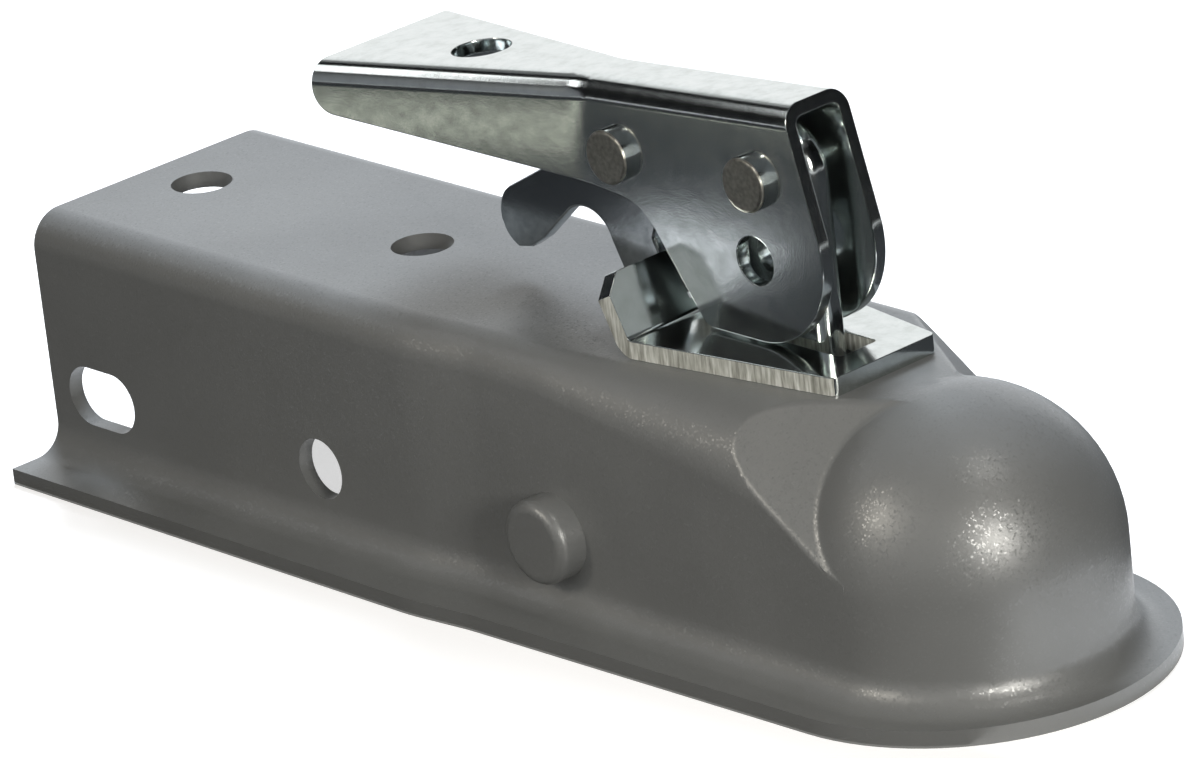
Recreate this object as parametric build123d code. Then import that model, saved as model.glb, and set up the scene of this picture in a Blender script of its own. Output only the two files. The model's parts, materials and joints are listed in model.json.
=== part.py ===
from build123d import *
import math
import os

# Driving dimensions in millimetres. X runs forward to the ball end and Z up.
# The origin is on the ball's upright axis, in the plane of the flange's underside.

# Pressed body
SHEET = 2.95
BALL_R = 23.81
BALL_CLEAR = 0.39
BALL_Z = 20.95
TOP_Z = 47.25
REAR_X = -201.2
REAR_HALF = 28.5
NECK_REAR_X = -103.0
NECK_FRONT_X = -88.0
NECK_BLEND_SHARE = 0.18
TOP_BEND_R = 6.3
RIDGE_R = 2.0
ROLL_X = -53.0
ROLL_R = 9.2
ROLL_GROWTH = 0.159
ROLL_RUNOUT = 5.0
FACET_NORMAL = (0.407, 0.676, 0.615)
FACET_DEPTH = 19.0
VALLEY_R = 2.5

# Bottom flange
FLANGE_W = 11.45
FLANGE_NECK_REAR_X = -94.3
FLANGE_NECK_FRONT_X = -81.0
FLANGE_NOSE_R = 36.4
FLANGE_NOSE_X = -2.7
FLANGE_FILLET_R = 5.5

# Fixing holes of the body
BOLT_HOLE_R = 5.55
REAR_HOLE_X = -187.4
FRONT_HOLE_X = -128.1
SIDE_HOLE_Z = 15.2
SIDE_SLOT_LENGTH = 18.0

# Cross rivet that carries the ball clamp
CROSS_X = -69.5
CROSS_Z = 16.0
CROSS_SHANK_R = 4.75
CROSS_HEAD_R = 7.5
CROSS_HEAD_H = 5.4
CROSS_HEAD_ROUND = 1.8

# Latch plate
PLATE_T = 3.35
PLATE_FRONT_X = -14.1
PLATE_FRONT_HALF = 11.75
PLATE_REAR_HALF = 18.2
PLATE_BEND_X = -56.0
PLATE_BEND_R = 1.2
PLATE_CORNER_R = 1.5
LIP_LEAN = 26.0
LIP_LENGTH = 11.4
LIP_CORNER_CUT = 3.4
SLOT_FRONT_X = -20.2
SLOT_REAR_X = -47.6
SLOT_HALF = 4.3
SLOT_CORNER_R = 0.8
WINDOW_HALF = 2.7
WINDOW_LOW = 2.4
WINDOW_HIGH = 9.0

# Handle, a folded channel; its rest lies on the front rivet's axis
PIVOT_X = -34.0
PIVOT_Z = 79.25
HANDLE_WALL = 2.4
HANDLE_HALF = 7.25
HANDLE_BEND_R = 4.0
HANDLE_REAR_X = -131.5
HANDLE_REAR_HALF = 17.4
FLARE_X = -75.0
FLARE_BLEND_R = 30.0
WEB_FRONT_X = -25.4
WEB_FRONT_Z = 93.6
WEB_SLOPE = 0.078
CAM_GAP = 0.45
CAM_R = 16.4
CAM_SET_BACK = 1.4
FRONT_LEAN = 14.5
LOBE_REAR_X = -48.4
LOBE_LEAN = 35.0
LOBE_CORNER_R = 3.5
THROAT_X = -64.0
THROAT_Z = 70.2
THROAT_R = 10.0
HANDLE_REAR_DEPTH = 8.6
HANDLE_REAR_CORNER_R = 4.5
WEB_HOLE_X = -106.3
WEB_HOLE_R = 5.2
LOCK_HOLE_X = -35.0
LOCK_HOLE_Z = 65.3
LOCK_HOLE_R = 4.2

# Rivets of the latch
RIVET_R = 3.2
RIVET_HEAD_R = 4.75
RIVET_HEAD_H = 2.2
RIVET_HEAD_ROUND = 0.5
RUN_CLEAR = 0.06
TRIGGER_X = -66.9
TRIGGER_Z = 77.8

# Draw bar, with a flat eye and a round threaded shank
BAR_T = 5.5
BAR_EDGE_R = 2.2
EYE_R = 9.2
SHANK_R = 4.0
BAR_FLAT_END_Z = 43.5
SHANK_TOP_Z = 38.0
SHANK_END_Z = 1.8
SHANK_ROOT = 2.0

# Trigger plate
TRIGGER_T = 2.8
TRIGGER_BOSS_R = 7.5
TRIGGER_CREST_Z = 82.8
TAIL_TOP = (-94.0, 67.9)
TAIL_BACK = (-101.5, 63.8)
TAIL_TIP = (-104.7, 59.0)
TAIL_LOW = (-100.8, 52.7)
TAIL_UNDER = [(-97.6, 53.3), (-94.0, 55.6)]
ARCH_REAR = (-86.6, 62.2)
ARCH_TOP = (-81.6, 63.2)
ARCH_FRONT = (-76.8, 58.7)
LEG_HEEL = (-73.6, 52.2)
LEG_FRONT_RISE = 8.5
LEG_TOP = (-60.4, 74.8)
NOSE_ENTRY = 0.8
NOSE_STAND = 1.2
NOSE_LOW = 0.9
NOSE_H = 2.2

# Ball clamp, pressed from plate
CLAMP_T = 4.0
CLAMP_HALF = 17.0
CLAMP_BALL_CLEAR = 0.35
CLAMP_WEB_Z = 11.0
CLAMP_LIP_X = -13.5
CLAMP_LIP_Z = 1.0
CLAMP_EAR_R = 8.5
CLAMP_SLOT_EXTRA = 3.0
CLAMP_SLOT_CLEAR = 0.8
CLAMP_WEB_FRONT_X = -20.0
CLAMP_EAR_FRONT_X = -43.5
NUT_RELIEF_R = 9.6

# Springs, washer and nut
WASHER_R = 6.9
WASHER_T = 1.6
NUT_FLATS = 12.7
NUT_H = 5.6
SEAT_GAP = 0.1
SPRING_WIRE_R = 1.2
SPRING_TOP_R = 12.4
SPRING_LOW_R = 7.4
SPRING_TURNS = 4.0
COIL_RUNS = 16
TORSION_WIRE_R = 0.45
TORSION_TURNS = 2.25
TORSION_PITCH = 1.05
TORSION_WEB_GAP = 0.4

# Sizes that follow from those above, and a length that cutting blocks use to reach past the part
DOME_R = BALL_R + BALL_CLEAR + SHEET
PLATE_TOP = TOP_Z + PLATE_T
FLANGE_REAR_HALF = REAR_HALF + FLANGE_W
FLANGE_NECK_HALF = DOME_R + FLANGE_W
REACH = 100.0
OVERRUN = 1.0


def prism(points, low, high, plane=Plane.XY):
    """Straight-sided solid of a closed outline between two heights of a plane."""
    return extrude(plane.offset(low) * make_face(Polyline(*points, close=True)), high - low)


def across(x, z, radius, half):
    """Round bar along Y, centred on the part's middle plane."""
    return Pos(x, 0, z) * Rot(90, 0, 0) * Cylinder(radius, 2 * half)


def mirrored(points):
    """Outline of a shape that is the same on both sides of the X axis."""
    return points + [(x, -y) for x, y in reversed(points)]


def neck_round(run, step):
    """Radius that rounds both ends of a neck over a set share of its slanted length."""
    turn = math.atan2(abs(step), run)
    return NECK_BLEND_SHARE * math.hypot(run, step) / math.tan(turn / 2)


def upright_block(inset, low):
    """Channel up to the ball's axis, with its top bends, before the shoulders are cut."""
    rear = REAR_X - (OVERRUN if inset else 0.0)
    half = REAR_HALF - inset
    front = DOME_R - inset
    face = make_face(Polyline(*mirrored([
        (rear, half), (NECK_REAR_X, half), (NECK_FRONT_X, front), (0, front)]), close=True))
    neck = [v for v in face.vertices() if rear + OVERRUN < v.X < -OVERRUN]
    face = fillet(neck, neck_round(NECK_FRONT_X - NECK_REAR_X, half - front))
    block = extrude(Pos(0, 0, low) * face, TOP_Z - inset - low)
    top = block.faces().sort_by(Axis.Z)[-1]
    sides = [e for e in top.edges() if abs((e @ 0.5).Y) > 1]
    return fillet(sides, TOP_BEND_R - inset)


def roll_cutter(side, inset):
    """Corner outside the top bend that grows towards the front, a cone that touches top and wall."""
    apex_x = ROLL_X - (ROLL_R - inset) / ROLL_GROWTH
    apex = Vector(apex_x, side * (DOME_R - inset), TOP_Z - inset)
    axis = Vector(1, -side * ROLL_GROWTH, -ROLL_GROWTH)
    slant = math.asin(ROLL_GROWTH / axis.length)
    reach = axis.length * (ROLL_RUNOUT - apex_x)
    cone = Plane(apex, z_dir=axis).location * Cone(
        0, reach * math.tan(slant), reach, align=(Align.CENTER, Align.CENTER, Align.MIN))
    corner = Pos(apex_x, side * DOME_R, TOP_Z) * Box(
        -apex_x, REACH, REACH, align=(Align.MIN, Align.CENTER, Align.CENTER))
    chord = Vector(ROLL_GROWTH, side, 1)
    keep = Plane(apex, z_dir=chord).location * Box(
        4 * REACH, 4 * REACH, REACH, align=(Align.CENTER, Align.CENTER, Align.MIN))
    return (corner & keep) - cone


def facet_plane(side, inset):
    """Plane of the shoulder that cuts the channel's top corner on one side."""
    normal = Vector(FACET_NORMAL[0], side * FACET_NORMAL[1], FACET_NORMAL[2]).normalized()
    return Plane(Vector(0, 0, BALL_Z) + normal * (FACET_DEPTH - inset), z_dir=normal)


def valley_ring(side):
    """Concave round between a shoulder and the dome, turned about the shoulder's normal."""
    rise = FACET_DEPTH + VALLEY_R
    out = math.sqrt((DOME_R + VALLEY_R) ** 2 - rise ** 2)
    centre = Vector(out, rise)
    on_ball = centre * (DOME_R / (DOME_R + VALLEY_R))
    middle = (Vector(0, -1) + (on_ball - centre).normalized()).normalized()
    arc = ThreePointArc((out, FACET_DEPTH), centre + middle * VALLEY_R, on_ball)
    inner = Polyline(on_ball, on_ball * 0.85, (out, FACET_DEPTH - VALLEY_R), (out, FACET_DEPTH))
    profile = Plane.XZ * make_face(arc + inner)
    frame = facet_plane(side, FACET_DEPTH)
    return frame.location * revolve(profile, Axis.Z)


def pressed_form(inset, low):
    """Solid inside the pressed sheet's outer face, or its inner face when inset by the sheet."""
    block = upright_block(inset, low)
    radius = DOME_R - inset
    for side in (1, -1):
        block -= roll_cutter(side, inset)
    envelope = block
    dome = Pos(0, 0, BALL_Z) * Sphere(radius)
    dome += Pos(0, 0, low) * Cylinder(
        radius, BALL_Z - low, align=(Align.CENTER, Align.CENTER, Align.MIN))
    dome -= Pos(0, 0, low) * Box(REACH, REACH, REACH, align=(Align.CENTER, Align.CENTER, Align.MAX))
    for side in (1, -1):
        block -= facet_plane(side, inset).location * Box(
            2 * REACH, 2 * REACH, REACH, align=(Align.CENTER, Align.CENTER, Align.MIN))
        if not inset:
            dome += valley_ring(side) & envelope
    if not inset:
        block = fillet(shoulder_edges(block), RIDGE_R)
    return dome + block


def shoulder_edges(block):
    """Edges where a shoulder meets the channel's top, bend and wall."""
    found = []
    for side in (1, -1):
        plane = facet_plane(side, 0)
        for edge in block.edges():
            off = [abs(plane.to_local_coords(edge @ t).Z) for t in (0, 0.5, 1)]
            if max(off) < 1e-3 and (edge @ 0.5).X < -0.5:
                found.append(edge)
    return found


def flange_plate():
    """Flat flange round the body's foot, with its rounded nose."""
    corner = Vector(FLANGE_NECK_FRONT_X - FLANGE_NOSE_X, FLANGE_NECK_HALF)
    turn = math.atan2(corner.Y, corner.X) - math.acos(FLANGE_NOSE_R / corner.length)
    touch = (FLANGE_NOSE_X + FLANGE_NOSE_R * math.cos(turn), FLANGE_NOSE_R * math.sin(turn))
    half = [(REAR_X, FLANGE_REAR_HALF), (FLANGE_NECK_REAR_X, FLANGE_REAR_HALF),
            (FLANGE_NECK_FRONT_X, FLANGE_NECK_HALF), touch]
    other = [(x, -y) for x, y in reversed(half)]
    nose = ThreePointArc(touch, (FLANGE_NOSE_X + FLANGE_NOSE_R, 0), other[0])
    face = make_face(Polyline(*other, *half) + nose)
    neck = [v for v in face.vertices() if REAR_X + OVERRUN < v.X < FLANGE_NECK_FRONT_X + OVERRUN]
    run = FLANGE_NECK_FRONT_X - FLANGE_NECK_REAR_X
    return extrude(fillet(neck, neck_round(run, FLANGE_REAR_HALF - FLANGE_NECK_HALF)), SHEET)


def foot_edges(solid, z):
    """Edges where the walls meet the flange at one height, without the flange's own rim."""
    rim = FLANGE_NOSE_R - FLANGE_FILLET_R
    found = []
    for edge in solid.edges():
        spots = [edge @ t for t in (0.02, 0.5, 0.98)]
        level = all(abs(p.Z - z) < 1e-3 for p in spots)
        inside = all(abs(p.Y) < rim if p.X < 0 else math.hypot(p.X, p.Y) < rim for p in spots)
        if level and inside and all(p.X > REAR_X for p in spots):
            found.append(edge)
    return found


def coupler_body():
    """Pressed channel with its flange, dome, shoulders and holes."""
    body = pressed_form(0, 0) + flange_plate()
    body = fillet(foot_edges(body, SHEET), FLANGE_FILLET_R)
    body -= pressed_form(SHEET, -OVERRUN)
    body = fillet(foot_edges(body, 0), FLANGE_FILLET_R + SHEET)
    for x in (REAR_HOLE_X, FRONT_HOLE_X):
        body -= Pos(x, 0, TOP_Z) * Cylinder(BOLT_HOLE_R, 4 * SHEET)
    body -= across(FRONT_HOLE_X, SIDE_HOLE_Z, BOLT_HOLE_R, REAR_HALF + OVERRUN)
    slot = Plane.XZ * SlotOverall(SIDE_SLOT_LENGTH, 2 * BOLT_HOLE_R)
    body -= Pos(REAR_HOLE_X, 0, SIDE_HOLE_Z) * extrude(slot, REAR_HALF + OVERRUN, both=True)
    body -= across(CROSS_X, CROSS_Z, CROSS_SHANK_R, DOME_R + OVERRUN)
    body -= bar_slot(TOP_Z - 2 * SHEET, TOP_Z + OVERRUN)
    return body


def bar_slot(low, high):
    """Slot that the draw bar passes through."""
    length = SLOT_FRONT_X - SLOT_REAR_X
    face = RectangleRounded(length, 2 * SLOT_HALF, SLOT_CORNER_R)
    return Pos(SLOT_REAR_X + length / 2, 0, low) * extrude(face, high - low)


def headed_rivet(x, z, grip, shank_r, head_r, head_h, rim, steps):
    """Rivet along Y with a rounded head outside each end of its grip, turned from one profile."""
    half = [(0, grip + head_h)]
    for i in range(steps + 1):
        turn = math.radians(90 * i / steps)
        half.append((head_r - rim + rim * math.sin(turn), grip + head_h - rim + rim * math.cos(turn)))
    half += [(head_r, grip), (shank_r, grip)]
    points = half + [(r, -y) for r, y in reversed(half)]
    return Pos(x, 0, z) * revolve(make_face(Polyline(*points, close=True)), Axis.Y)


def cross_rivet():
    """Painted rivet through both walls, with a low drum head on each side."""
    return headed_rivet(CROSS_X, CROSS_Z, DOME_R, CROSS_SHANK_R,
                        CROSS_HEAD_R, CROSS_HEAD_H, CROSS_HEAD_ROUND, 4)


def lip_axes():
    """Foot of the plate's upturned lip on its front face, with its rising and rearward directions."""
    lean = math.radians(LIP_LEAN)
    return (Vector(PLATE_BEND_X, PLATE_TOP), Vector(-math.sin(lean), math.cos(lean)),
            Vector(-math.cos(lean), -math.sin(lean)))


def latch_plate():
    """Wear plate on the body's top, with the draw bar's slot and an upturned lip at the rear."""
    foot, rise, back = lip_axes()
    outer = foot + back * PLATE_T
    outer += rise * ((TOP_Z - outer.Y) / rise.Y)
    tip = foot + rise * LIP_LENGTH
    side = make_face(Polyline(
        (PLATE_FRONT_X, TOP_Z), outer, tip + back * PLATE_T, tip, foot,
        (PLATE_FRONT_X, PLATE_TOP), close=True))
    inner_bend = side.vertices().sort_by_distance(foot)[0]
    side = fillet(inner_bend, PLATE_BEND_R)
    outer_bend = side.vertices().sort_by_distance(outer)[0]
    side = fillet(outer_bend, PLATE_BEND_R + PLATE_T)
    plate = extrude(Plane.XZ * side, PLATE_REAR_HALF + OVERRUN, both=True)
    plan = prism(mirrored([
        (tip.X - REACH, PLATE_REAR_HALF), (PLATE_BEND_X, PLATE_REAR_HALF),
        (PLATE_FRONT_X, PLATE_FRONT_HALF)]), TOP_Z - OVERRUN, TOP_Z + REACH)
    plate &= plan
    nose = [e for e in plate.edges().filter_by(Axis.Z) if e.center().X > PLATE_FRONT_X - OVERRUN]
    plate = fillet(nose, PLATE_CORNER_R)
    ends = [e for e in plate.edges() if (e @ 0.5).Z > tip.Y - PLATE_T
            and abs(abs((e @ 0.5).Y) - PLATE_REAR_HALF) < 0.01 and abs(e.length - PLATE_T) < 0.01]
    plate = chamfer(ends, LIP_CORNER_CUT)
    low, high = foot + rise * WINDOW_LOW, foot + rise * WINDOW_HIGH
    before, behind = back * -OVERRUN, back * (PLATE_T + OVERRUN)
    window = make_face(Polyline(low + before, high + before, high + behind, low + behind, close=True))
    plate -= extrude(Plane.XZ * window, WINDOW_HALF, both=True)
    return plate - bar_slot(TOP_Z - OVERRUN, PLATE_TOP + OVERRUN)


def web_z(x):
    """Height of the handle's top face."""
    return WEB_FRONT_Z + WEB_SLOPE * (x - WEB_FRONT_X)


def handle_plan(inset):
    """Plan of the handle: parallel at the lobes and flared to the rear."""
    flare = (HANDLE_REAR_HALF - HANDLE_HALF) / (HANDLE_REAR_X - FLARE_X)
    end = HANDLE_REAR_X - (OVERRUN if inset else 0.0)
    half = HANDLE_HALF - inset
    face = make_face(Polyline(*mirrored([
        (end, half + flare * (end - FLARE_X)), (FLARE_X, half), (OVERRUN, half)]), close=True))
    bends = [v for v in face.vertices() if abs(v.X - FLARE_X) < 0.1]
    return extrude(fillet(bends, FLARE_BLEND_R), REACH)


def handle_side():
    """Side view of the handle, with the cam lobes that stand on the plate."""
    low = PLATE_TOP + CAM_GAP
    cam = Vector(PIVOT_X - CAM_SET_BACK, low + CAM_R)
    lean = math.radians(FRONT_LEAN)
    front_low = cam + Vector(math.cos(lean), math.sin(lean)) * CAM_R
    climb = (web_z(front_low.X) - front_low.Y) / (math.cos(lean) + WEB_SLOPE * math.sin(lean))
    front_top = front_low + Vector(-math.sin(lean), math.cos(lean)) * climb
    middle = cam + Vector(math.cos(lean / 2 - math.pi / 4), math.sin(lean / 2 - math.pi / 4)) * CAM_R
    arc = ThreePointArc((cam.X, low), middle, front_low)
    rear_low = (HANDLE_REAR_X, web_z(HANDLE_REAR_X) - HANDLE_REAR_DEPTH)
    lobe_top = (LOBE_REAR_X - math.tan(math.radians(LOBE_LEAN)) * (THROAT_Z - low), THROAT_Z)
    rest = Polyline(front_low, front_top, (HANDLE_REAR_X, web_z(HANDLE_REAR_X)), rear_low, lobe_top,
                    (LOBE_REAR_X, low), (cam.X, low))
    face = make_face(arc + rest)
    rounds = ((rear_low, HANDLE_REAR_CORNER_R), (lobe_top, THROAT_R), ((LOBE_REAR_X, low), LOBE_CORNER_R))
    for spot, radius in rounds:
        face = fillet(face.vertices().sort_by_distance(spot)[0], radius)
    return face


def handle_shape():
    """Folded handle, open below and at both ends."""
    outer = extrude(Plane.XZ * handle_side(), HANDLE_REAR_HALF, both=True) & handle_plan(0)
    top = [e for e in outer.edges() if abs((e @ 0.5).Y) > 1
           and all(abs((e @ t).Z - web_z((e @ t).X)) < 1e-3 for t in (0, 0.5, 1))]
    outer = fillet(top, HANDLE_BEND_R)
    drop = HANDLE_WALL * math.hypot(1, WEB_SLOPE)
    rear = HANDLE_REAR_X - REACH
    under = make_face(Polyline(
        (rear, web_z(rear) - drop), (OVERRUN, web_z(OVERRUN) - drop), (OVERRUN, 0), (rear, 0), close=True))
    inner = extrude(Plane.XZ * under, HANDLE_REAR_HALF, both=True) & handle_plan(HANDLE_WALL)
    top = [e for e in inner.edges() if abs((e @ 0.5).Y) > 1
           and all(abs((e @ t).Z - web_z((e @ t).X) + drop) < 1e-3 for t in (0, 0.5, 1))]
    inner = fillet(top, HANDLE_BEND_R - HANDLE_WALL)
    shape = outer - inner
    shape -= across(PIVOT_X, PIVOT_Z, RIVET_R, HANDLE_REAR_HALF)
    shape -= across(TRIGGER_X, TRIGGER_Z, RIVET_R, HANDLE_REAR_HALF)
    shape -= across(LOCK_HOLE_X, LOCK_HOLE_Z, LOCK_HOLE_R, HANDLE_REAR_HALF)
    punch = Plane((WEB_HOLE_X, 0, web_z(WEB_HOLE_X)), z_dir=(-WEB_SLOPE, 0, 1))
    return shape - punch.location * Cylinder(WEB_HOLE_R, 3 * HANDLE_WALL)


def latch_rivet(x, z):
    """Rivet across the handle, with a low flat head on each side."""
    return headed_rivet(x, z, HANDLE_HALF, RIVET_R, RIVET_HEAD_R, RIVET_HEAD_H, RIVET_HEAD_ROUND, 2)


def draw_bar():
    """Eye bar of rolled flat with rounded edges, tapered below the slot to a round shank."""
    crown = ThreePointArc((PIVOT_X - EYE_R, PIVOT_Z), (PIVOT_X, PIVOT_Z + EYE_R), (PIVOT_X + EYE_R, PIVOT_Z))
    sides = Polyline(
        (PIVOT_X + EYE_R, PIVOT_Z), (PIVOT_X + EYE_R, BAR_FLAT_END_Z), (PIVOT_X + SHANK_R, SHANK_TOP_Z),
        (PIVOT_X - SHANK_R, SHANK_TOP_Z), (PIVOT_X - EYE_R, BAR_FLAT_END_Z), (PIVOT_X - EYE_R, PIVOT_Z))
    bar = extrude(Plane.XZ * make_face(crown + sides), BAR_T / 2, both=True)
    rolled = [e for e in bar.edges() if abs(abs((e @ 0.5).Y) - BAR_T / 2) < 1e-3
              and (e @ 0.5).Z > SHANK_TOP_Z + OVERRUN]
    bar = fillet(rolled, BAR_EDGE_R)
    bar += Pos(PIVOT_X, 0, SHANK_END_Z) * Cylinder(
        SHANK_R, SHANK_TOP_Z + SHANK_ROOT - SHANK_END_Z, align=(Align.CENTER, Align.CENTER, Align.MIN))
    bar -= across(PIVOT_X, PIVOT_Z, RIVET_R + RUN_CLEAR, BAR_T)
    return bar - across(LOCK_HOLE_X, LOCK_HOLE_Z, LOCK_HOLE_R, BAR_T)


def trigger_side():
    """Side view of the trigger: boss, finger tail, arch, leg and nose."""
    foot, rise, back = lip_axes()
    entry = back * (PLATE_T - NOSE_ENTRY)
    nose_low = foot + rise * (WINDOW_LOW + NOSE_LOW)
    nose_high = nose_low + rise * NOSE_H
    leg_front = nose_high + back * (PLATE_T + NOSE_STAND)
    tip = ThreePointArc(TAIL_BACK, TAIL_TIP, TAIL_LOW)
    under = Polyline(TAIL_LOW, *TAIL_UNDER, ARCH_REAR)
    arch = ThreePointArc(ARCH_REAR, ARCH_TOP, ARCH_FRONT)
    leg = Polyline(ARCH_FRONT, LEG_HEEL, nose_low + entry, nose_high + entry, leg_front,
                   leg_front + rise * LEG_FRONT_RISE, LEG_TOP)
    top = Polyline(LEG_TOP, (TRIGGER_X, TRIGGER_CREST_Z), TAIL_TOP, TAIL_BACK)
    return make_face(tip + under + arch + leg + top)


def trigger_shape():
    """Stamped trigger plate on the rear rivet."""
    plate = extrude(Plane.XZ * trigger_side(), TRIGGER_T / 2, both=True)
    plate += across(TRIGGER_X, TRIGGER_Z, TRIGGER_BOSS_R, TRIGGER_T / 2)
    return plate - across(TRIGGER_X, TRIGGER_Z, RIVET_R + RUN_CLEAR, TRIGGER_T)


def rod(start, end, radius):
    """Straight six-sided wire between two points."""
    start, end = Vector(*start), Vector(*end)
    face = Plane(start, z_dir=end - start) * RegularPolygon(radius, 6)
    return extrude(face, (end - start).length)


def coil(radius_low, radius_high, height, turns, wire_r):
    """Coil about Z of short straight runs of six-sided wire, mitred where they meet."""
    count = round(turns * COIL_RUNS)
    points = []
    for i in range(count + 1):
        share = i / count
        turn = math.tau * turns * share
        radius = radius_low + (radius_high - radius_low) * share
        points.append(Vector(radius * math.cos(turn), radius * math.sin(turn), height * share))
    section = Plane(points[0], z_dir=points[1] - points[0]) * RegularPolygon(wire_r, 6)
    return sweep(section, Polyline(*points), transition=Transition.RIGHT)


def torsion_spring():
    """Trigger spring on the rear rivet: a coil, a leg up to the web and a hooked leg over the tail."""
    radius = RIVET_R + RUN_CLEAR + 2 * TORSION_WIRE_R
    start = TRIGGER_T / 2 + TORSION_WIRE_R + SEAT_GAP
    height = TORSION_TURNS * TORSION_PITCH
    wire = coil(radius, radius, height, TORSION_TURNS, TORSION_WIRE_R)
    spring = Pos(TRIGGER_X, start, TRIGGER_Z) * Rot(-90, 0, 0) * wire
    web_leg_x = TRIGGER_X + radius
    web_leg_top = web_z(web_leg_x) - HANDLE_WALL - TORSION_WEB_GAP
    spring += rod((web_leg_x, start, TRIGGER_Z), (web_leg_x, start, web_leg_top), TORSION_WIRE_R)
    tail_leg_z = TRIGGER_Z - radius
    slope = (TRIGGER_CREST_Z - TAIL_TOP[1]) / (TRIGGER_X - TAIL_TOP[0])
    lift = (TORSION_WIRE_R + SEAT_GAP) * math.hypot(1, slope)
    hook_x = TRIGGER_X - (TRIGGER_CREST_Z + lift - tail_leg_z) / slope
    end = start + height
    hook = (hook_x, end, tail_leg_z)
    spring += rod((TRIGGER_X, end, tail_leg_z), (hook_x - TORSION_WIRE_R, end, tail_leg_z), TORSION_WIRE_R)
    return spring + rod(hook, (hook_x, -TRIGGER_T / 2, tail_leg_z), TORSION_WIRE_R)


def ball_clamp():
    """Pressed clamp: a dished lip under the ball, a web for the draw bar and two ears on the cross rivet."""
    ball = Pos(0, 0, BALL_Z) * Sphere(BALL_R + CLAMP_BALL_CLEAR)
    dish = Pos(0, 0, BALL_Z) * Sphere(BALL_R + CLAMP_BALL_CLEAR + CLAMP_T)
    web_top = CLAMP_WEB_Z + CLAMP_T
    dish &= Pos(CLAMP_LIP_X, 0, CLAMP_LIP_Z) * Box(
        REACH, 2 * CLAMP_HALF, web_top - CLAMP_LIP_Z, align=(Align.MAX, Align.CENTER, Align.MIN))
    web_rear = CROSS_X + CLAMP_EAR_R
    web = Pos(web_rear, 0, CLAMP_WEB_Z) * Box(
        CLAMP_WEB_FRONT_X - web_rear, 2 * CLAMP_HALF, CLAMP_T, align=(Align.MIN, Align.CENTER, Align.MIN))
    ear = make_face(Polyline(
        (CROSS_X, CROSS_Z + CLAMP_EAR_R), (CLAMP_EAR_FRONT_X, web_top), (CLAMP_EAR_FRONT_X, CLAMP_WEB_Z),
        (CROSS_X, CROSS_Z - CLAMP_EAR_R), close=True))
    ear = extrude(Plane.XZ * ear, CLAMP_HALF, both=True)
    ear += across(CROSS_X, CROSS_Z, CLAMP_EAR_R, CLAMP_HALF)
    gap = Pos(CROSS_X, 0, CROSS_Z) * Box(REACH, 2 * (CLAMP_HALF - CLAMP_T), REACH)
    clamp = dish + web + (ear - gap) - ball
    clamp -= across(CROSS_X, CROSS_Z, CROSS_SHANK_R + RUN_CLEAR, CLAMP_HALF + OVERRUN)
    slot = SlotCenterToCenter(CLAMP_SLOT_EXTRA, 2 * (SHANK_R + CLAMP_SLOT_CLEAR))
    clamp -= Pos(PIVOT_X - CLAMP_SLOT_EXTRA / 4, 0, 0) * extrude(slot, web_top + OVERRUN)
    return clamp - Pos(PIVOT_X, 0, CLAMP_WEB_Z) * Cylinder(
        NUT_RELIEF_R, CLAMP_WEB_Z, align=(Align.CENTER, Align.CENTER, Align.MAX))


def clamp_spring():
    """Cone spring from the body's top down to the clamp's web."""
    low = CLAMP_WEB_Z + CLAMP_T + SEAT_GAP + SPRING_WIRE_R
    high = TOP_Z - SHEET - SEAT_GAP - SPRING_WIRE_R
    return Pos(PIVOT_X, 0, low) * coil(SPRING_LOW_R, SPRING_TOP_R, high - low, SPRING_TURNS, SPRING_WIRE_R)


def clamp_washer():
    """Washer under the clamp's web."""
    top = CLAMP_WEB_Z - SEAT_GAP
    washer = Cylinder(WASHER_R, WASHER_T, align=(Align.CENTER, Align.CENTER, Align.MAX))
    washer -= Cylinder(SHANK_R, 4 * WASHER_T)
    return Pos(PIVOT_X, 0, top) * washer


def adjusting_nut():
    """Lock nut on the shank's threaded end."""
    top = CLAMP_WEB_Z - SEAT_GAP - WASHER_T
    nut = extrude(RegularPolygon(NUT_FLATS / 2, 6, major_radius=False, rotation=30), -NUT_H)
    nut -= Cylinder(SHANK_R, 4 * NUT_H)
    return Pos(PIVOT_X, 0, top) * nut


PARTS = {
    "coupler_body": coupler_body,
    "cross_rivet": cross_rivet,
    "latch_plate": latch_plate,
    "handle": handle_shape,
    "front_rivet": lambda: latch_rivet(PIVOT_X, PIVOT_Z),
    "rear_rivet": lambda: latch_rivet(TRIGGER_X, TRIGGER_Z),
    "draw_bar": draw_bar,
    "trigger": trigger_shape,
    "trigger_spring": torsion_spring,
    "ball_clamp": ball_clamp,
    "clamp_spring": clamp_spring,
    "clamp_washer": clamp_washer,
    "adjusting_nut": adjusting_nut,
}

os.makedirs("parts", exist_ok=True)
for name, make in PARTS.items():
    export_step(make(), f"parts/{name}.step")
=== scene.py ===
import json
import math

import bmesh
import bpy
from mathutils import Matrix, Vector

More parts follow.
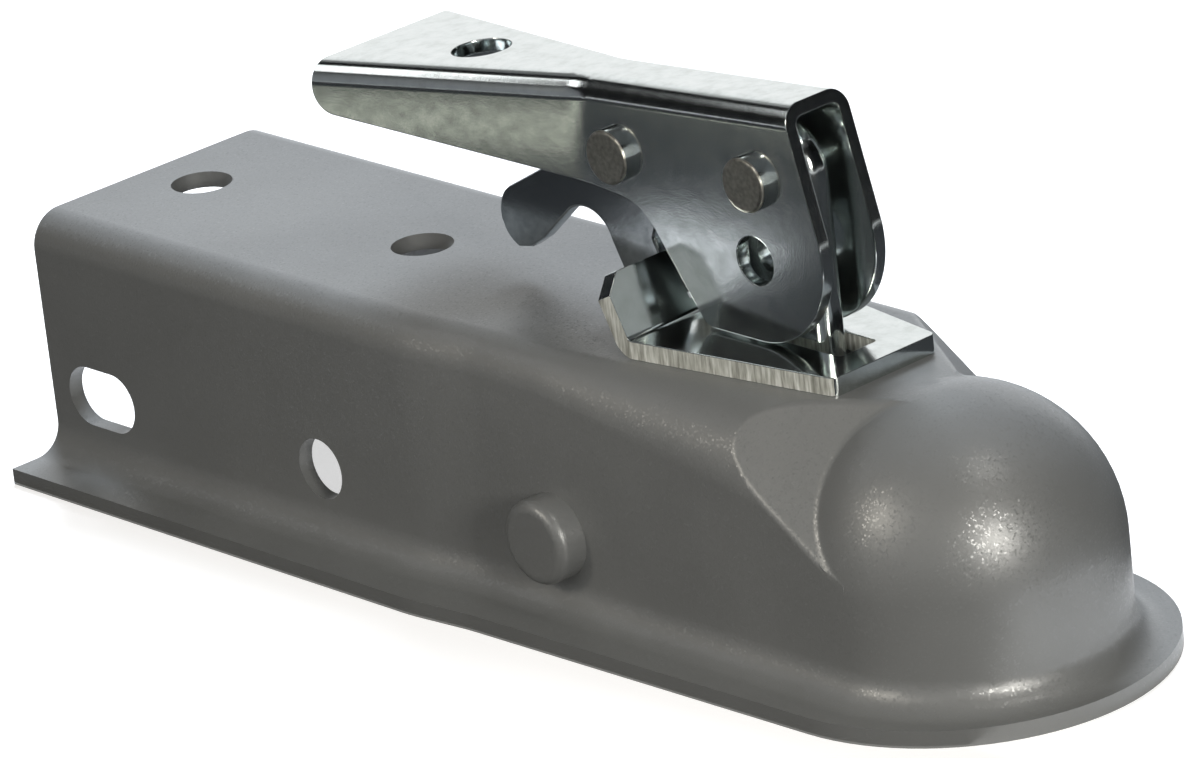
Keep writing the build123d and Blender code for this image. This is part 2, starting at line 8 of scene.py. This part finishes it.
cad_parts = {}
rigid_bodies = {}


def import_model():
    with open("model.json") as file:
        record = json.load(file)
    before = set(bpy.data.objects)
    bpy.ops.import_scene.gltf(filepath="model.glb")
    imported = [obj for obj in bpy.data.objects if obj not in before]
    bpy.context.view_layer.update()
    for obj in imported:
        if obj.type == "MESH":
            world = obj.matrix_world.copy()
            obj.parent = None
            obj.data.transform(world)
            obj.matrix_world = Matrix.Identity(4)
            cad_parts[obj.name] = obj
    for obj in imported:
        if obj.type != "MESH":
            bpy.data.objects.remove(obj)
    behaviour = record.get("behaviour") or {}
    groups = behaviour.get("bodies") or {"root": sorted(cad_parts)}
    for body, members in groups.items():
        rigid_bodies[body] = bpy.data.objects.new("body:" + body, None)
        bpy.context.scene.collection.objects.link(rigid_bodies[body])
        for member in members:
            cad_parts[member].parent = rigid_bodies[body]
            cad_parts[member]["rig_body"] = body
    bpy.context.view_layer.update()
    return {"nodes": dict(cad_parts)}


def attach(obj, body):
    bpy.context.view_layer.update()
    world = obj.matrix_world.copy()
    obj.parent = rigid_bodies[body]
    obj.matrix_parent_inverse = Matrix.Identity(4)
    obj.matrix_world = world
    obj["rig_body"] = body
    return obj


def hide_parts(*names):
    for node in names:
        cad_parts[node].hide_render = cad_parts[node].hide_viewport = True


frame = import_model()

# Body: one sheet of steel pressed into a channel with a dome for the ball, a flange
# round its foot and a shoulder on each side of the dome, sprayed with grey paint.


def linear(code):
    """sRGB hex colour as linear red, green, blue and alpha."""
    parts = [int(code[i:i + 2], 16) / 255 for i in (1, 3, 5)]
    return [p / 12.92 if p <= 0.04045 else ((p + 0.055) / 1.055) ** 2.4 for p in parts] + [1.0]


def add(tree, kind, links=(), **settings):
    """New node in a tree: settings go to its properties or inputs, links are (input, socket)."""
    node = tree.nodes.new(kind)
    for key, value in settings.items():
        if hasattr(node, key):
            setattr(node, key, value)
        else:
            node.inputs[key.replace("_", " ")].default_value = value
    for key, socket in links:
        tree.links.new(node.inputs[key], socket)
    return node


def ramp(node, stops):
    """Colour stops of a colour ramp, each a place and an sRGB colour."""
    band = node.color_ramp
    while len(band.elements) < len(stops):
        band.elements.new(0.5)
    for element, (place, code) in zip(band.elements, stops):
        element.position = place
        element.color = linear(code)
    return node


def new_material(name):
    """Empty material and its node tree."""
    material = bpy.data.materials.new(name)
    material.use_nodes = True
    material.node_tree.nodes.clear()
    return material, material.node_tree


def merged(node, sharp, edge=0.0):
    """Mesh of a node, with its hard edges eased where an edge width is given."""
    form = bmesh.new()
    form.from_mesh(frame["nodes"][node].data)
    bmesh.ops.remove_doubles(form, verts=form.verts, dist=2e-6)
    if edge:
        flat = math.radians(0.2)
        bmesh.ops.dissolve_limit(form, angle_limit=flat, verts=form.verts, edges=form.edges)
        hard = [e for e in form.edges if e.is_manifold and e.calc_face_angle() > math.radians(sharp)]
        bmesh.ops.bevel(form, geom=hard, offset=edge, offset_type="OFFSET", affect="EDGES",
                        segments=2, profile=0.5, material=-1, clamp_overlap=True)
    form.normal_update()
    return form


def placed(form, name, node, slot, sharp, *materials):
    """Object from a finished mesh, smooth apart from its hard edges, that stands for a node.

    The node's stored normals come along with its mesh and are dropped, so that the eased
    edges shade by their own shape.
    """
    mesh = bpy.data.meshes.new(name)
    form.to_mesh(mesh)
    form.free()
    if "custom_normal" in mesh.attributes:
        mesh.attributes.remove(mesh.attributes["custom_normal"])
    mesh.shade_smooth()
    mesh.set_sharp_from_angle(angle=math.radians(sharp))
    for material in materials:
        mesh.materials.append(material)
    piece = bpy.data.objects.new(name, mesh)
    bpy.context.scene.collection.objects.link(piece)
    even = piece.modifiers.new("even_normals", "WEIGHTED_NORMAL")
    even.keep_sharp = True
    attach(piece, frame["nodes"][node]["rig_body"])
    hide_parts(node)
    return piece


# Satin alkyd spray paint with fine aluminium flake: matt grey in shade, and a soft
# highlight that breaks up into sparkle. Flakes of 0.1 mm are drawn at 0.3 mm to show.
FLAKE = 0.0003
ORANGE_PEEL = 0.0016
PANEL_CLOUD = 0.03
SHINY_FLAKE = 0.72
body_paint, tree = new_material("grey_flake_paint")
place = add(tree, "ShaderNodeTexCoord").outputs["Object"]
flakes = add(tree, "ShaderNodeTexVoronoi", [("Vector", place)], Scale=1 / FLAKE)
tilt = add(tree, "ShaderNodeVectorMath", [(0, flakes.outputs["Color"])], operation="SUBTRACT")
tilt.inputs[1].default_value = (0.5, 0.5, 0.5)
pick = add(tree, "ShaderNodeSeparateColor", [("Color", flakes.outputs["Color"])])
shiny = add(tree, "ShaderNodeMath", [(0, pick.outputs["Red"])], operation="GREATER_THAN")
shiny.inputs[1].default_value = SHINY_FLAKE
swing = add(tree, "ShaderNodeMapRange", [("Value", shiny.outputs[0])], To_Min=0.04, To_Max=0.18)
lean = add(tree, "ShaderNodeVectorMath", [
    (0, tilt.outputs[0]), ("Scale", swing.outputs["Result"])], operation="SCALE")
peel = add(tree, "ShaderNodeTexNoise", [("Vector", place)], Scale=1 / ORANGE_PEEL, Detail=2.0)
skin = add(tree, "ShaderNodeBump", [("Height", peel.outputs["Fac"])], Strength=0.1, Distance=0.0001)
glint = add(tree, "ShaderNodeVectorMath", [
    (0, skin.outputs["Normal"]), (1, lean.outputs[0])], operation="ADD")
level = add(tree, "ShaderNodeVectorMath", [(0, glint.outputs[0])], operation="NORMALIZE")
cloud = add(tree, "ShaderNodeTexNoise", [("Vector", place)], Scale=1 / PANEL_CLOUD, Detail=3.0)
tone = ramp(add(tree, "ShaderNodeValToRGB", [("Fac", cloud.outputs["Fac"])]),
            [(0.35, "#747676"), (0.7, "#7a7c7c")])
rough = add(tree, "ShaderNodeMapRange", [("Value", shiny.outputs[0])], To_Min=0.4, To_Max=0.32)
coat = add(tree, "ShaderNodeBsdfPrincipled", [
    ("Base Color", tone.outputs["Color"]), ("Roughness", rough.outputs["Result"]),
    ("Normal", level.outputs[0])], IOR=1.5, Metallic=0.3)
add(tree, "ShaderNodeOutputMaterial", [("Surface", coat.outputs["BSDF"])])

placed(merged("coupler_body", 32), "painted_body", "coupler_body", "body_paint", 32, body_paint)

# Cross rivet: a steel rivet through both walls, painted with the body.
# Its drum heads have a rounded rim from the snap.
placed(merged("cross_rivet", 50), "painted_cross_rivet", "cross_rivet", "body_paint", 50, body_paint)

# Latch plate: a stamped steel plate on the body's top, bright zinc plated, with a slot for
# the draw bar and its rear edge folded up into a lip that the trigger catches.

# Bright zinc electroplate over rolled steel: a mirror that is slightly hazed and mottled,
# bluish white. The mottle is 2 to 4 mm across, over a grain of 0.3 mm.
MOTTLE = 0.0032
ROLLED_GRAIN = 0.0003
zinc, tree = new_material("bright_zinc_plate")
place = add(tree, "ShaderNodeTexCoord").outputs["Object"]
mottle = add(tree, "ShaderNodeTexNoise", [("Vector", place)], Scale=1 / MOTTLE, Detail=5.0, Roughness=0.62)
tone = ramp(add(tree, "ShaderNodeValToRGB", [("Fac", mottle.outputs["Fac"])]),
            [(0.32, "#d6dcda"), (0.5, "#e1e7e6"), (0.7, "#e9eeed")])
grain = add(tree, "ShaderNodeTexNoise", [("Vector", place)], Scale=1 / ROLLED_GRAIN, Detail=2.0)
rough = add(tree, "ShaderNodeMapRange", [("Value", mottle.outputs["Fac"])],
            From_Min=0.3, From_Max=0.7, To_Min=0.16, To_Max=0.11)
wave = add(tree, "ShaderNodeBump", [("Height", mottle.outputs["Fac"])], Strength=0.1, Distance=0.0001)
pits = add(tree, "ShaderNodeBump", [
    ("Height", grain.outputs["Fac"]), ("Normal", wave.outputs["Normal"])], Strength=0.05, Distance=0.0001)
plate_metal = add(tree, "ShaderNodeBsdfPrincipled", [
    ("Base Color", tone.outputs["Color"]), ("Roughness", rough.outputs["Result"]),
    ("Normal", pits.outputs["Normal"])], Metallic=1.0)
add(tree, "ShaderNodeOutputMaterial", [("Surface", plate_metal.outputs["BSDF"])])

# Sheared edge under the same plating: torn across its thickness in lines about 0.6 mm apart,
# so it scatters light where the faces mirror it.
TEAR_APART = 0.0006
TEAR_LONG = 0.005
edge_zinc, tree = new_material("sheared_zinc_edge")
place = add(tree, "ShaderNodeTexCoord").outputs["Object"]
stretch = add(tree, "ShaderNodeMapping", [("Vector", place)],
              Scale=(1 / TEAR_APART, 1 / TEAR_APART, 1 / TEAR_LONG))
tears = add(tree, "ShaderNodeTexNoise", [("Vector", stretch.outputs["Vector"])], Scale=1.0, Detail=4.0)
tone = ramp(add(tree, "ShaderNodeValToRGB", [("Fac", tears.outputs["Fac"])]),
            [(0.3, "#83847d"), (0.5, "#b4b6af"), (0.7, "#dcdfda")])
torn = add(tree, "ShaderNodeBump", [("Height", tears.outputs["Fac"])], Strength=0.35, Distance=0.0002)
edge_metal = add(tree, "ShaderNodeBsdfPrincipled", [
    ("Base Color", tone.outputs["Color"]), ("Normal", torn.outputs["Normal"])], Metallic=0.3, Roughness=0.5)
add(tree, "ShaderNodeOutputMaterial", [("Surface", edge_metal.outputs["BSDF"])])

form = merged("latch_plate", 35, edge=0.0003)
for face in form.faces:
    if abs(face.normal.z) < 0.25 and abs(face.normal.y) > 0.6:
        face.material_index = 1
placed(form, "plated_latch_plate", "latch_plate", "zinc_plate", 35, zinc, edge_zinc)

# Draw bar: a flat eye bar that hangs from the handle and passes through the plate's slot,
# with a round shank below that is rolled with a 5/16 in coarse thread for the clamp's nut.
placed(merged("draw_bar", 35), "plated_draw_bar", "draw_bar", "zinc_plate", 35, zinc)


def wire(points, radius, corners):
    """Round wire drawn along a run of points, with closed ends."""
    run = bpy.data.curves.new("wire_run", "CURVE")
    run.dimensions = "3D"
    run.bevel_depth = radius
    run.bevel_resolution = corners // 2 - 2
    run.use_fill_caps = True
    path = run.splines.new("POLY")
    path.points.add(len(points) - 1)
    for knot, point in zip(path.points, points):
        knot.co = (*point, 1)
    drawn = bpy.data.objects.new("wire_run", run)
    mesh = bpy.data.meshes.new_from_object(drawn)
    form = bmesh.new()
    form.from_mesh(mesh)
    bpy.data.objects.remove(drawn)
    bpy.data.curves.remove(run)
    bpy.data.meshes.remove(mesh)
    bmesh.ops.remove_doubles(form, verts=form.verts, dist=2e-6)
    bmesh.ops.recalc_face_normals(form, faces=form.faces)
    return form


def helix(radius_low, radius_high, low, high, turns, steps):
    """Points of a coil about Z that may widen as it rises, with a number of steps to a turn."""
    points = []
    count = round(turns * steps)
    for i in range(count + 1):
        share = i / count
        radius = radius_low + (radius_high - radius_low) * share
        turn = math.tau * turns * share
        rise = low + (high - low) * share
        points.append(Vector((radius * math.cos(turn), radius * math.sin(turn), rise)))
    return points


SHANK_X = -0.034
SHANK_R = 0.004
THREAD_PITCH = 0.00141
THREAD_LOW, THREAD_HIGH = 0.0024, 0.030
THREAD_RIDGE_R = 0.00032
thread_turns = (THREAD_HIGH - THREAD_LOW) / THREAD_PITCH
axis = Vector((SHANK_X, 0, 0))
ridge = [axis + p for p in helix(SHANK_R, SHANK_R, THREAD_LOW, THREAD_HIGH, thread_turns, 24)]
mesh = bpy.data.meshes.new("shank_thread")
form = wire(ridge, THREAD_RIDGE_R, 6)
form.to_mesh(mesh)
form.free()
mesh.shade_smooth()
mesh.materials.append(zinc)
thread = bpy.data.objects.new("shank_thread", mesh)
bpy.context.scene.collection.objects.link(thread)
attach(thread, frame["nodes"]["draw_bar"]["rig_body"])

# Ball clamp: thick plate pressed to a dish that closes under the ball, turning on the cross
# rivet, with a washer and a lock nut on the shank that draw it up. Its lugs bend away from the
# flat plate by 8 and 20 degrees, and these bends stay crisp.
FLAT_AREA = 5e-5
BEND_LOW, BEND_HIGH = math.radians(5), math.radians(25)
form = merged("ball_clamp", 35, edge=0.0005)
form.edges.index_update()
creases = [e.index for e in form.edges if e.is_manifold
           and max(f.calc_area() for f in e.link_faces) > FLAT_AREA
           and BEND_LOW < e.calc_face_angle() < BEND_HIGH]
clamp = placed(form, "plated_ball_clamp", "ball_clamp", "zinc_plate", 35, zinc)
for i in creases:
    clamp.data.edges[i].use_edge_sharp = True
for node, edge in (("clamp_washer", 0.0002), ("adjusting_nut", 0.0003)):
    placed(merged(node, 35, edge=edge), "plated_" + node, node, "zinc_plate", 35, zinc)

# Clamp spring: a cone of round steel wire, zinc plated, that pushes the clamp away from the
# body's top when the handle is lifted.
CONE_LOW_R, CONE_HIGH_R = 0.0074, 0.0124
CONE_LOW, CONE_HIGH = 0.0163, 0.0430
CONE_TURNS = 4.0
CONE_WIRE_R = 0.0012
cone = [axis + p for p in helix(CONE_LOW_R, CONE_HIGH_R, CONE_LOW, CONE_HIGH, CONE_TURNS, 40)]
placed(wire(cone, CONE_WIRE_R, 14), "clamp_spring_wire", "clamp_spring", "spring_wire", 60, zinc)

# Handle: one blank of sheet steel folded to a channel, flared at the rear for the hand, with
# two cam lobes at the front that roll on the plate. Zinc plated after folding.
placed(merged("handle", 35, edge=0.0004), "plated_handle", "handle", "zinc_plate", 35, zinc)

# Rivets: turned steel, plated, with heads that are dulled by the peening die.
# The heads stand outside the handle's walls.
PEEN_DENT = 0.0008
HEAD_Y = 0.009
peened, tree = new_material("peened_zinc_face")
place = add(tree, "ShaderNodeTexCoord").outputs["Object"]
dents = add(tree, "ShaderNodeTexNoise", [("Vector", place)], Scale=1 / PEEN_DENT, Detail=4.0)
tone = ramp(add(tree, "ShaderNodeValToRGB", [("Fac", dents.outputs["Fac"])]),
            [(0.3, "#9a9890"), (0.55, "#b0aea6"), (0.75, "#c2c0b8")])
struck = add(tree, "ShaderNodeBump", [("Height", dents.outputs["Fac"])], Strength=0.15, Distance=0.0001)
face_metal = add(tree, "ShaderNodeBsdfPrincipled", [
    ("Base Color", tone.outputs["Color"]), ("Normal", struck.outputs["Normal"])],
    Metallic=1.0, Roughness=0.36)
add(tree, "ShaderNodeOutputMaterial", [("Surface", face_metal.outputs["BSDF"])])
for node in ("front_rivet", "rear_rivet"):
    form = merged(node, 40)
    for face in form.faces:
        if abs(face.calc_center_median().y) > HEAD_Y:
            face.material_index = 1
    placed(form, "plated_" + node, node, "zinc_plate", 40, zinc, peened)

# Trigger: a stamped finger plate on the rear rivet, with a torsion spring beside it.
# Its plate is the same zinc with a darker colour: partly a duller finish, partly painted shade for the
# shadow of the handle above it.
dull_and_shaded_zinc = zinc.copy()
dull_and_shaded_zinc.name = "dull_and_shaded_zinc_plate"
for node in dull_and_shaded_zinc.node_tree.nodes:
    if node.type == "VALTORGB":
        ramp(node, [(0.32, "#9a9fa1"), (0.5, "#abb0b2"), (0.7, "#bbc0c2")])
placed(merged("trigger", 35, edge=0.0005), "plated_trigger", "trigger", "zinc_plate", 35, dull_and_shaded_zinc)

# Trigger spring: fine spring wire, coiled on the rear rivet, with one leg against the handle's
# web and one hooked over the trigger's tail.
PIN = Vector((-0.0669, 0, 0.0778))
COIL_R = 0.00416
COIL_NEAR, COIL_FAR = 0.00195, 0.00431
COIL_TURNS = 2.25
COIL_WIRE_R = 0.00045
HOOK_X = -0.0186
legs = [PIN + Vector((COIL_R, COIL_NEAR, z)) for z in (0.0093, 0.005)]
for p in helix(COIL_R, COIL_R, COIL_NEAR, COIL_FAR, COIL_TURNS, 32):
    legs.append(PIN + Vector((p.x, p.z, -p.y)))
legs += [PIN + Vector((x, COIL_FAR, -COIL_R)) for x in (-0.008, -0.0181)]
legs += [PIN + Vector((HOOK_X, y, -COIL_R)) for y in (COIL_FAR - 0.0005, 0.002, -0.0014)]
placed(wire(legs, COIL_WIRE_R, 10), "trigger_spring_wire", "trigger_spring", "spring_wire", 60, zinc)

# Studio: a pale floor, a soft box high at the rear of the far side, smaller lamps round the ball
# end and a strip for the handle's fold. Dark cloth, curtains and a few grey cards, out of the
# camera's sight, are what the bright metal mirrors.


def staged(name, corners, material):
    """Flat card of the studio from its four corners."""
    form = bmesh.new()
    form.faces.new([form.verts.new(c) for c in corners])
    mesh = bpy.data.meshes.new(name)
    form.to_mesh(mesh)
    form.free()
    card = bpy.data.objects.new(name, mesh)
    bpy.context.scene.collection.objects.link(card)
    mesh.materials.append(material)
    return card


def level_card(name, x0, x1, y0, y1, z, material):
    """Card that lies flat."""
    return staged(name, [(x0, y0, z), (x1, y0, z), (x1, y1, z), (x0, y1, z)], material)


def matt(name, code):
    """Plain matt card or cloth of one colour."""
    material, tree = new_material(name)
    sheet = add(tree, "ShaderNodeBsdfDiffuse", Color=linear(code))
    add(tree, "ShaderNodeOutputMaterial", [("Surface", sheet.outputs[0])])
    return material


def lamp(name, aim, azimuth, elevation, distance, size, power, code):
    """Square soft box that faces a point, from a compass direction and height."""
    light = bpy.data.lights.new(name, "AREA")
    light.size = size
    light.energy = power
    light.color = linear(code)[:3]
    a, e = math.radians(azimuth), math.radians(elevation)
    away = Vector((math.sin(a) * math.cos(e), -math.cos(a) * math.cos(e), math.sin(e)))
    box = bpy.data.objects.new(name, light)
    box.location = Vector(aim) + away * distance
    box.rotation_euler = away.to_track_quat("Z", "Y").to_euler()
    bpy.context.scene.collection.objects.link(box)
    return box


def sight_rays(tree):
    """1 for rays that look or mirror, 0 for rays that only carry light."""
    path = add(tree, "ShaderNodeLightPath")
    seen = add(tree, "ShaderNodeMath", [
        (0, path.outputs["Is Camera Ray"]), (1, path.outputs["Is Glossy Ray"])], operation="MAXIMUM")
    return add(tree, "ShaderNodeMath", [
        (0, seen.outputs[0]), (1, path.outputs["Is Transmission Ray"])], operation="MAXIMUM").outputs[0]


FLOOR_HALF = 4
FLOOR_GLOW = 0.62
floor_paint, tree = new_material("pale_floor")
floor_coat = add(tree, "ShaderNodeBsdfDiffuse", Color=linear("#c8c8c8"))
lit = add(tree, "ShaderNodeMath", [(0, sight_rays(tree))], operation="MULTIPLY")
lit.inputs[1].default_value = FLOOR_GLOW
glow = add(tree, "ShaderNodeEmission", [("Strength", lit.outputs[0])])
both = add(tree, "ShaderNodeAddShader", [(0, floor_coat.outputs[0]), (1, glow.outputs[0])])
add(tree, "ShaderNodeOutputMaterial", [("Surface", both.outputs[0])])
level_card("floor", -FLOOR_HALF, FLOOR_HALF, -FLOOR_HALF, FLOOR_HALF, 0, floor_paint)

cloth = matt("dark_cloth", "#2a2b2c")
grey = matt("grey_card", "#b4b4b4")
straw = matt("straw_card", "#b2b1a1")
CLOTH_Z, FAR_CLOTH_Z, CARD_Z = 0.0004, 0.0006, 0.0008
ROOM, CEILING_HALF, CEILING_Z = 1.7, 2.4, 1.9
cards = [
    level_card("side_cloth", -0.9, 0.9, -1.2, -0.025, CLOTH_Z, cloth),
    level_card("front_cloth", 0.09, 0.9, -0.043, 0.6, CLOTH_Z, cloth),
    level_card("right_cloth", -0.25, 0.9, 0.05, 0.9, FAR_CLOTH_Z, cloth),
    level_card("ceiling", -CEILING_HALF, CEILING_HALF, -CEILING_HALF, CEILING_HALF, CEILING_Z, grey),
    level_card("far_bounce", -0.28, -0.17, -0.216, -0.196, CARD_Z, straw),
    level_card("near_bounce", -0.200, -0.160, -0.131, -0.105, CARD_Z, grey)]
for name, start, end, stuff in (
        ("side_curtain", (-ROOM, -ROOM), (ROOM, -ROOM), grey),
        ("front_curtain", (ROOM, -ROOM), (ROOM, ROOM), cloth),
        ("right_curtain", (ROOM, ROOM), (-0.42, ROOM), cloth),
        ("rear_curtain", (-ROOM, 0.17), (-ROOM, -ROOM), cloth)):
    corners = [(*start, 0), (*end, 0), (*end, CEILING_Z), (*start, CEILING_Z)]
    cards.append(staged(name, corners, stuff))
for card in cards:
    card.visible_camera = False
    card.visible_shadow = False

middle = (-0.09, 0, 0.04)
ball = (0, 0, 0.025)
fold = (-0.12, -0.02, 0.085)
top_box = lamp("overhead_box", middle, -138, 50, 1.2, 0.5, 30.5, "#eef5ff")
top_box.visible_glossy = False
lamp("front_lamp", ball, 71, 20, 0.6, 0.14, 2.5, "#fffaf2")
near_card = lamp("near_card", ball, 8, 30, 0.3, 0.2, 0.3, "#fffaf2")
near_card.visible_glossy = False
lamp("side_lamp", ball, -20, 29, 0.9, 0.2, 1.8, "#fff6e8")
lamp("upper_lamp", ball, 97, 65, 1.2, 0.2, 1.5, "#fffaf2")
lamp("camera_card", ball, 58, 16, 1.5, 0.9, 0.8, "#ffffff")
strip = lamp("fold_strip", fold, -59, 41, 0.8, 0.1, 0.2, "#ffffff")
strip.data.shape = "RECTANGLE"
strip.data.size_y = 0.38
strip.rotation_euler.rotate_axis("Z", math.radians(56))

world = bpy.data.worlds.new("studio")
bpy.context.scene.world = world
world.use_nodes = True
tree = world.node_tree
tree.nodes.clear()
open_sky = add(tree, "ShaderNodeMapRange", [("Value", sight_rays(tree))], To_Min=0.5, To_Max=1.0)
sky = add(tree, "ShaderNodeBackground", [("Strength", open_sky.outputs["Result"])], Color=(1, 1, 1, 1))
add(tree, "ShaderNodeOutputWorld", [("Surface", sky.outputs["Background"])])

# Camera: a long lens from the ball end's right, turned a little, as in the photograph.
camera = bpy.data.cameras.new("camera")
camera.sensor_width = 36.0
camera.lens = 239.07
camera.shift_x = 0.00723
camera.shift_y = -0.00261
camera.clip_end = 20.0
stand = bpy.data.objects.new("camera", camera)
across = Vector((0.677621, 0.727983, -0.104258))
upward = Vector((-0.198087, 0.317207, 0.927438))
behind = Vector((0.708231, -0.607800, 0.359150))
turn = Matrix((across, upward, behind)).transposed().to_4x4()
stand.matrix_world = Matrix.Translation((0.871415, -0.822897, 0.517683)) @ turn
bpy.context.scene.collection.objects.link(stand)
bpy.context.scene.camera = stand
bpy.context.scene.view_settings.view_transform = "Standard"
